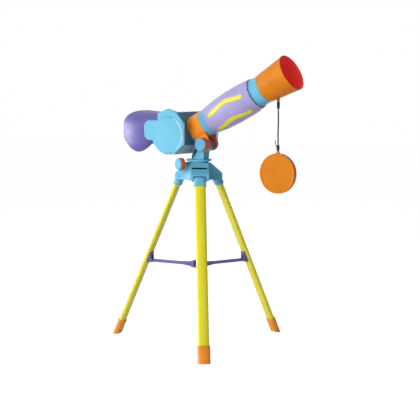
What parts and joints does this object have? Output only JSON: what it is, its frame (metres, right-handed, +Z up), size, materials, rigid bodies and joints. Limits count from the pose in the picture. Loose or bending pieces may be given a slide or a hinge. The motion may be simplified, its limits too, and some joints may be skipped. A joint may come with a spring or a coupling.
{
  "type": "toy telescope",
  "caption": "Child's telescope with a two-eye goggle and flared hood on a pan and tilt head, folding tripod with spreader, and a lens cap hanging on a cord.",
  "frame": {"origin": "on the floor, under the pan axis of the tripod head", "axes": "+Z up along the pan axis, +X the way the telescope points, +Y to its left"},
  "size_m": [0.3719, 0.3067, 0.501],
  "materials": {
    "sky": "light-blue moulded plastic, satin gloss",
    "orange": "orange moulded plastic, satin gloss",
    "yellow": "yellow extruded plastic, satin gloss",
    "purple": "purple moulded plastic, soft sheen",
    "lavender": "lavender moulded plastic, soft sheen",
    "grip_yellow": "yellow soft rubber grip",
    "cord_black": "black twisted cord",
    "dark": "black matt plastic",
    "steel": "plated steel",
    "lens": "clear moulded lens",
    "mirror": "silvered plastic mirror"
  },
  "bodies": {
    "stand": {"tripod_head": "sky", "leg_hinge_pins": "sky", "head_base_plate": "sky", "base_plate_screws": "steel"},
    "spreader_hub": {"spreader_hub": "purple", "spreader_studs": "purple"},
    "pan_head": {"pan_yoke": "sky", "pan_washer": "steel", "pan_screw": "steel"},
    "pan_knob": {"pan_knob": "orange", "pan_knob_cap": "sky", "pan_lock_screw": "steel"},
    "telescope": {"tube_bracket": "orange", "tilt_nut": "steel", "barrel_tube": "sky", "grip_sleeve": "lavender", "wave_grips": "grip_yellow", "front_collar": "sky", "hood": "orange", "objective_lens": "lens", "lens_ring": "dark", "housing_drum": "sky", "side_cover_right": "sky", "side_cover_left": "sky", "cover_screws": "steel", "goggle": "purple", "eyepiece_right": "dark", "eyepiece_left": "dark", "eye_lens_right": "lens", "eye_lens_left": "lens", "optics_tray": "dark", "beam_splitter": "lens", "side_mirrors": "mirror"},
    "tilt_knob": {"tilt_knob": "orange", "tilt_knob_cap": "sky", "tilt_bolt": "steel"},
    "cap_cord": {"cord_loop": "cord_black", "cord_knot_top": "cord_black", "cord_strand_right": "cord_black", "cord_strand_left": "cord_black", "cord_tail": "cord_black", "cord_knot_low": "cord_black"},
    "cap_pendant": {"lens_cap": "orange"},
    "leg_front": {"leg_socket_front": "sky", "leg_tube_front": "yellow", "foot_front": "orange", "arm_clip_front": "purple"},
    "arm_front": {"spreader_arm_front": "purple"},
    "leg_left": {"leg_socket_left": "sky", "leg_tube_left": "yellow", "foot_left": "orange", "arm_clip_left": "purple"},
    "arm_left": {"spreader_arm_left": "purple"},
    "leg_rear": {"leg_socket_rear": "sky", "leg_tube_rear": "yellow", "foot_rear": "orange", "arm_clip_rear": "purple"},
    "arm_rear": {"spreader_arm_rear": "purple"}
  },
  "joints": [
    {"name": "pan", "type": "hinge", "parent": "stand", "child": "pan_head", "pos_m": [0, 0, 0.3239], "axis": [0, 0, 1], "continuous": true},
    {"name": "tilt", "type": "hinge", "parent": "pan_head", "child": "telescope", "pos_m": [0.02, 0, 0.3505], "axis": [0, -1, 0], "range_deg": [-32, 5]},
    {"name": "tilt_knob_turn", "type": "hinge", "parent": "telescope", "child": "tilt_knob", "pos_m": [0.02, -0.02, 0.3505], "axis": [0, -1, 0], "range_deg": [0, 540]},
    {"name": "pan_knob_turn", "type": "hinge", "parent": "stand", "child": "pan_knob", "pos_m": [-0.01435, -0.03301, 0.3163], "axis": [-0.3987, -0.9171, 0], "range_deg": [0, 540]},
    {"name": "leg_fold_front", "type": "hinge", "parent": "stand", "child": "leg_front", "pos_m": [0.01784, -0.02412, 0.294], "axis": [0.8039, 0.5948, 0], "range_deg": [0, 20]},
    {"name": "leg_fold_left", "type": "hinge", "parent": "stand", "child": "leg_left", "pos_m": [0.01196, 0.02751, 0.294], "axis": [-0.9171, 0.3987, 0], "range_deg": [0, 20]},
    {"name": "leg_fold_rear", "type": "hinge", "parent": "stand", "child": "leg_rear", "pos_m": [-0.02981, -0.0034, 0.294], "axis": [0.1132, -0.9936, 0], "range_deg": [0, 20]},
    {"name": "arm_swing_front", "type": "hinge", "parent": "leg_front", "child": "arm_front", "pos_m": [0.05646, -0.0763, 0.13953], "axis": [0.8039, 0.5948, 0], "range_deg": [0, 56.55]},
    {"name": "arm_swing_left", "type": "hinge", "parent": "leg_left", "child": "arm_left", "pos_m": [0.03785, 0.08705, 0.13953], "axis": [-0.9171, 0.3987, 0], "range_deg": [0, 56.55]},
    {"name": "arm_swing_rear", "type": "hinge", "parent": "leg_rear", "child": "arm_rear", "pos_m": [-0.09431, -0.01074, 0.13953], "axis": [0.1132, -0.9936, 0], "range_deg": [0, 56.55]},
    {"name": "spreader_rise", "type": "slide", "parent": "stand", "child": "spreader_hub", "axis": [0, 0, 1], "range_m": [0, 0.0605]},
    {"name": "cord_plumb", "type": "hinge", "parent": "telescope", "child": "cap_cord", "pos_m": [0.15872, 0, 0.42822], "axis": [0, -1, 0], "range_deg": [-5.5, 32.5]},
    {"name": "cap_swing", "type": "hinge", "parent": "cap_cord", "child": "cap_pendant", "pos_m": [0.15872, 0, 0.34022], "axis": [0, -1, 0], "range_deg": [-40, 40]}
  ],
  "couplings": [
    {"joint": "leg_fold_left", "follows": "leg_fold_front", "ratio": 1},
    {"joint": "leg_fold_rear", "follows": "leg_fold_front", "ratio": 1},
    {"joint": "arm_swing_front", "follows": "leg_fold_front", "ratio": 2.8173},
    {"joint": "arm_swing_left", "follows": "leg_fold_front", "ratio": 2.8173},
    {"joint": "arm_swing_rear", "follows": "leg_fold_front", "ratio": 2.8173},
    {"joint": "spreader_rise", "follows": "leg_fold_front", "m_per_rad": 0.17273},
    {"joint": "cord_plumb", "follows": "tilt", "ratio": -1}
  ]
}
